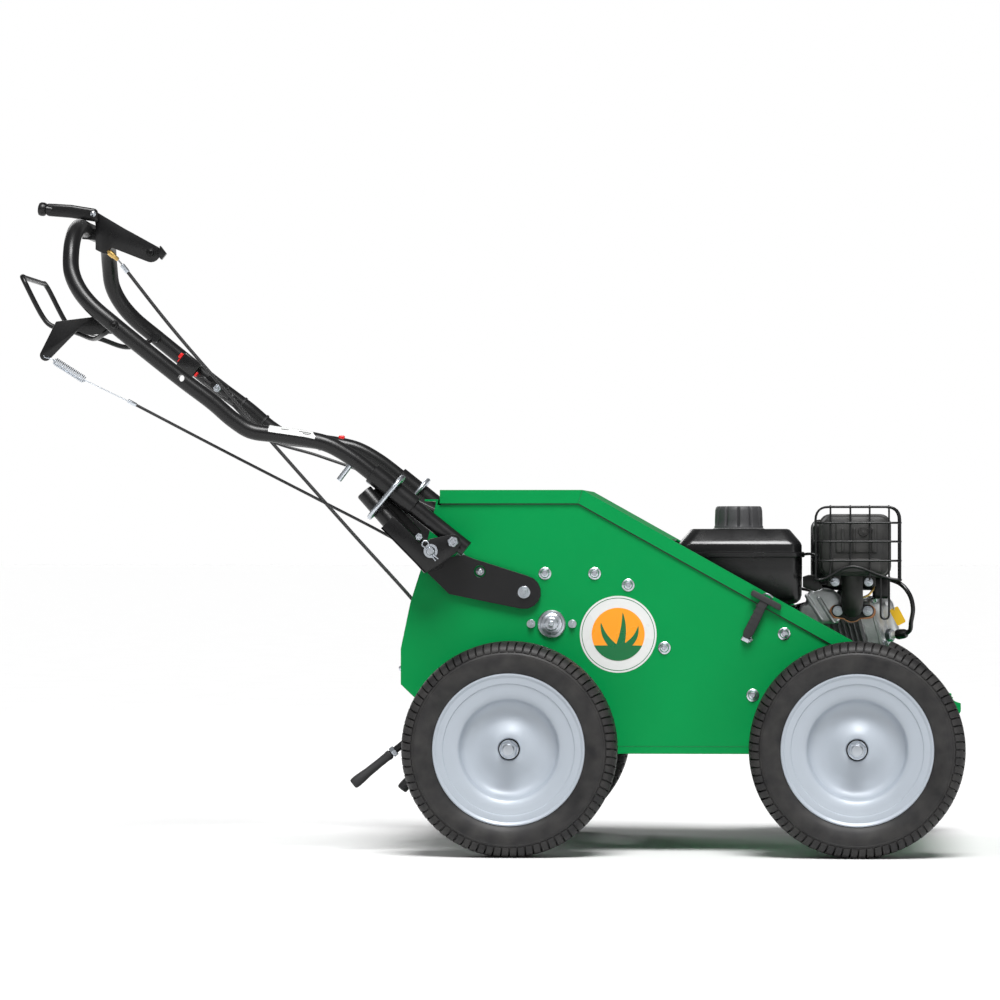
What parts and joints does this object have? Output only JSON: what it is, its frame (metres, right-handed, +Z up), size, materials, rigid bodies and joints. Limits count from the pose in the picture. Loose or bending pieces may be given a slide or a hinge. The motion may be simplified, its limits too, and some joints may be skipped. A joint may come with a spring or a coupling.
{
  "type": "core aerator",
  "caption": "Walk-behind core aerator: sheet-metal housing on flat-free wheels, engine-driven reciprocating coring tines, folding tube handle with controls.",
  "frame": {"origin": "on the ground, under the middle of the machine's overall length and width", "axes": "+X forward to the engine end, +Y to the machine's left, +Z up"},
  "size_m": [1.4818, 0.735, 1.0206],
  "materials": {
    "green_paint": "gloss powder coat over sheet steel",
    "black_paint": "satin powder coat",
    "tyre_rubber": "matt flat-free tyre rubber",
    "latch_rubber": "moulded rubber",
    "rim_paint": "satin silver-grey paint on pressed steel",
    "zinc": "bright zinc plate",
    "steel": "machined steel",
    "cast_aluminium": "die-cast, matt",
    "black_plastic": "moulded, satin",
    "red_plastic": "moulded, glossy",
    "cable_jacket": "extruded cable jacket"
  },
  "bodies": {
    "chassis": {"side_panel_right": "green_paint", "side_panel_left": "green_paint", "rear_panel": "green_paint", "front_panel": "green_paint", "engine_deck": "green_paint", "handle_arm_right": "black_paint", "handle_arm_left": "black_paint", "lock_post_right": "black_paint", "lock_post_left": "black_paint", "crank_bearing_right": "zinc", "crank_bearing_left": "zinc", "rear_axle_right": "steel", "rear_axle_left": "steel", "crankcase": "cast_aluminium", "valve_cover": "cast_aluminium", "blower_housing": "black_plastic", "fuel_tank": "black_plastic", "muffler": "black_paint", "muffler_guard": "black_paint", "air_cleaner": "black_plastic", "drive_belt": "latch_rubber", "tine_chain": "steel", "drive_chain": "steel", "tine_cable": "cable_jacket", "drive_cable": "cable_jacket", "throttle_cable": "cable_jacket"},
    "front_wheelset": {"front_axle": "steel", "tyre_front_right": "tyre_rubber", "tyre_front_left": "tyre_rubber", "rim_front_right": "rim_paint", "rim_front_left": "rim_paint"},
    "rear_wheel_right": {"tyre_rear_right": "tyre_rubber", "rim_rear_right": "rim_paint"},
    "rear_wheel_left": {"tyre_rear_left": "tyre_rubber", "rim_rear_left": "rim_paint"},
    "hood": {"hood": "green_paint"},
    "hood_latch_right": {"hood_latch_right": "latch_rubber"},
    "hood_latch_left": {"hood_latch_left": "latch_rubber"},
    "handle": {"handlebar": "black_paint", "switch_box": "black_plastic", "throttle_housing": "black_plastic"},
    "drive_lever": {"drive_lever": "black_paint"},
    "tine_bail": {"tine_bail": "black_paint", "bail_spring": "zinc"},
    "lock_ring_right": {"lock_ring_right": "zinc"},
    "lock_ring_left": {"lock_ring_left": "zinc"},
    "switch_button": {"switch_button": "red_plastic"},
    "throttle_lever": {"throttle_lever": "black_plastic"},
    "foot_pedal_right": {"foot_pedal_right": "black_paint"},
    "foot_pedal_center": {"foot_pedal_center": "black_paint"},
    "starter_grip": {"starter_grip": "black_plastic"},
    "fuel_cap": {"fuel_cap": "black_plastic"},
    "engine_output": {"engine_pulley": "steel"},
    "jackshaft": {"jackshaft": "steel"},
    "crankshaft": {"crankshaft": "steel"},
    "tine_arm_1": {"tine_arm_1": "steel"},
    "tine_arm_2": {"tine_arm_2": "steel"},
    "tine_arm_3": {"tine_arm_3": "steel"},
    "tine_arm_4": {"tine_arm_4": "steel"},
    "idler": {"idler_arm": "zinc"}
  },
  "joints": [
    {"name": "front_wheels_spin", "type": "hinge", "parent": "chassis", "child": "front_wheelset", "pos_m": [0.576, 0, 0.165], "axis": [0, 1, 0], "continuous": true},
    {"name": "rear_wheel_right_spin", "type": "hinge", "parent": "chassis", "child": "rear_wheel_right", "pos_m": [0.045, -0.32, 0.165], "axis": [0, 1, 0], "continuous": true},
    {"name": "rear_wheel_left_spin", "type": "hinge", "parent": "chassis", "child": "rear_wheel_left", "pos_m": [0.045, 0.32, 0.165], "axis": [0, 1, 0], "continuous": true},
    {"name": "hood_open", "type": "hinge", "parent": "chassis", "child": "hood", "pos_m": [-0.072, 0, 0.556], "axis": [0, 1, 0], "range_deg": [-50, 0]},
    {"name": "hood_latch_right_release", "type": "hinge", "parent": "chassis", "child": "hood_latch_right", "pos_m": [0.4075, -0.2435, 0.336], "axis": [0.8751, 0, -0.484], "range_deg": [0, 100], "stiffness_Nm_per_rad": 0.6},
    {"name": "hood_latch_left_release", "type": "hinge", "parent": "chassis", "child": "hood_latch_left", "pos_m": [0.4075, 0.2435, 0.336], "axis": [-0.8751, 0, 0.484], "range_deg": [0, 100], "stiffness_Nm_per_rad": 0.6},
    {"name": "handle_fold", "type": "hinge", "parent": "chassis", "child": "handle", "pos_m": [-0.0436, 0, 0.4823], "axis": [0, 1, 0], "range_deg": [0, 104], "deforming": ["tine_cable", "drive_cable", "throttle_cable"]},
    {"name": "lock_ring_right_slide", "type": "slide", "parent": "handle", "child": "lock_ring_right", "axis": [-0.787, 0, 0.617], "range_m": [0, 0.045]},
    {"name": "lock_ring_left_slide", "type": "slide", "parent": "handle", "child": "lock_ring_left", "axis": [-0.787, 0, 0.617], "range_m": [0, 0.045]},
    {"name": "drive_lever_lift", "type": "hinge", "parent": "handle", "child": "drive_lever", "pos_m": [-0.5375, 0, 0.9396], "axis": [0, 1, 0], "range_deg": [0, 25]},
    {"name": "tine_bail_squeeze", "type": "hinge", "parent": "handle", "child": "tine_bail", "pos_m": [-0.57, 0, 0.817], "axis": [0, 1, 0], "range_deg": [0, 30], "deforming": ["bail_spring"]},
    {"name": "stop_switch_press", "type": "slide", "parent": "handle", "child": "switch_button", "axis": [0.7815, 0, -0.6239], "range_m": [0, 0.002], "stiffness_N_per_m": 400, "springref_m": -0.002},
    {"name": "throttle_move", "type": "hinge", "parent": "handle", "child": "throttle_lever", "pos_m": [-0.47, 0.23, 0.738], "axis": [0, 1, 0], "range_deg": [-40, 0]},
    {"name": "foot_pedal_right_press", "type": "hinge", "parent": "chassis", "child": "foot_pedal_right", "pos_m": [-0.011, -0.2, 0.262], "axis": [0, 1, 0], "range_deg": [-15, 0], "stiffness_Nm_per_rad": 6, "springref_deg": 20.05},
    {"name": "foot_pedal_center_press", "type": "hinge", "parent": "chassis", "child": "foot_pedal_center", "pos_m": [-0.011, 0, 0.262], "axis": [0, 1, 0], "range_deg": [-15, 0], "stiffness_Nm_per_rad": 6, "springref_deg": 20.05},
    {"name": "starter_pull", "type": "slide", "parent": "chassis", "child": "starter_grip", "axis": [0.2501, 0, 0.9682], "range_m": [0, 0.4], "stiffness_N_per_m": 20, "springref_m": -0.3},
    {"name": "fuel_cap_turn", "type": "hinge", "parent": "chassis", "child": "fuel_cap", "pos_m": [0.3926, -0.008, 0.52], "axis": [0, 0, 1], "range_deg": [0, 90]},
    {"name": "engine_spin", "type": "hinge", "parent": "chassis", "child": "engine_output", "pos_m": [0.4, -0.2, 0.298], "axis": [0, 1, 0], "continuous": true},
    {"name": "crank_spin", "type": "hinge", "parent": "chassis", "child": "crankshaft", "pos_m": [0.1055, 0, 0.355], "axis": [0, 1, 0], "continuous": true},
    {"name": "jackshaft_spin", "type": "hinge", "parent": "chassis", "child": "jackshaft", "pos_m": [0.235, 0, 0.3], "axis": [0, 1, 0], "continuous": true},
    {"name": "tine_arm_1_swing", "type": "hinge", "parent": "crankshaft", "child": "tine_arm_1", "pos_m": [0.09821, -0.175, 0.39636], "axis": [0, 1, 0], "continuous": true},
    {"name": "tine_arm_2_swing", "type": "hinge", "parent": "crankshaft", "child": "tine_arm_2", "pos_m": [0.11279, -0.058, 0.31364], "axis": [0, 1, 0], "continuous": true},
    {"name": "tine_arm_3_swing", "type": "hinge", "parent": "crankshaft", "child": "tine_arm_3", "pos_m": [0.06414, 0.058, 0.34771], "axis": [0, 1, 0], "continuous": true},
    {"name": "tine_arm_4_swing", "type": "hinge", "parent": "crankshaft", "child": "tine_arm_4", "pos_m": [0.14686, 0.175, 0.36229], "axis": [0, 1, 0], "continuous": true},
    {"name": "idler_swing", "type": "hinge", "parent": "chassis", "child": "idler", "pos_m": [0.384, -0.21, 0.216], "axis": [0, 1, 0], "range_deg": [0, 4.5]}
  ],
  "couplings": [
    {"joint": "tine_arm_1_swing", "follows": "crank_spin", "ratio": -1},
    {"joint": "tine_arm_2_swing", "follows": "crank_spin", "ratio": -1},
    {"joint": "tine_arm_3_swing", "follows": "crank_spin", "ratio": -1},
    {"joint": "tine_arm_4_swing", "follows": "crank_spin", "ratio": -1},
    {"joint": "jackshaft_spin", "follows": "crank_spin", "ratio": 3},
    {"joint": "idler_swing", "follows": "tine_bail_squeeze", "ratio": 0.15}
  ]
}
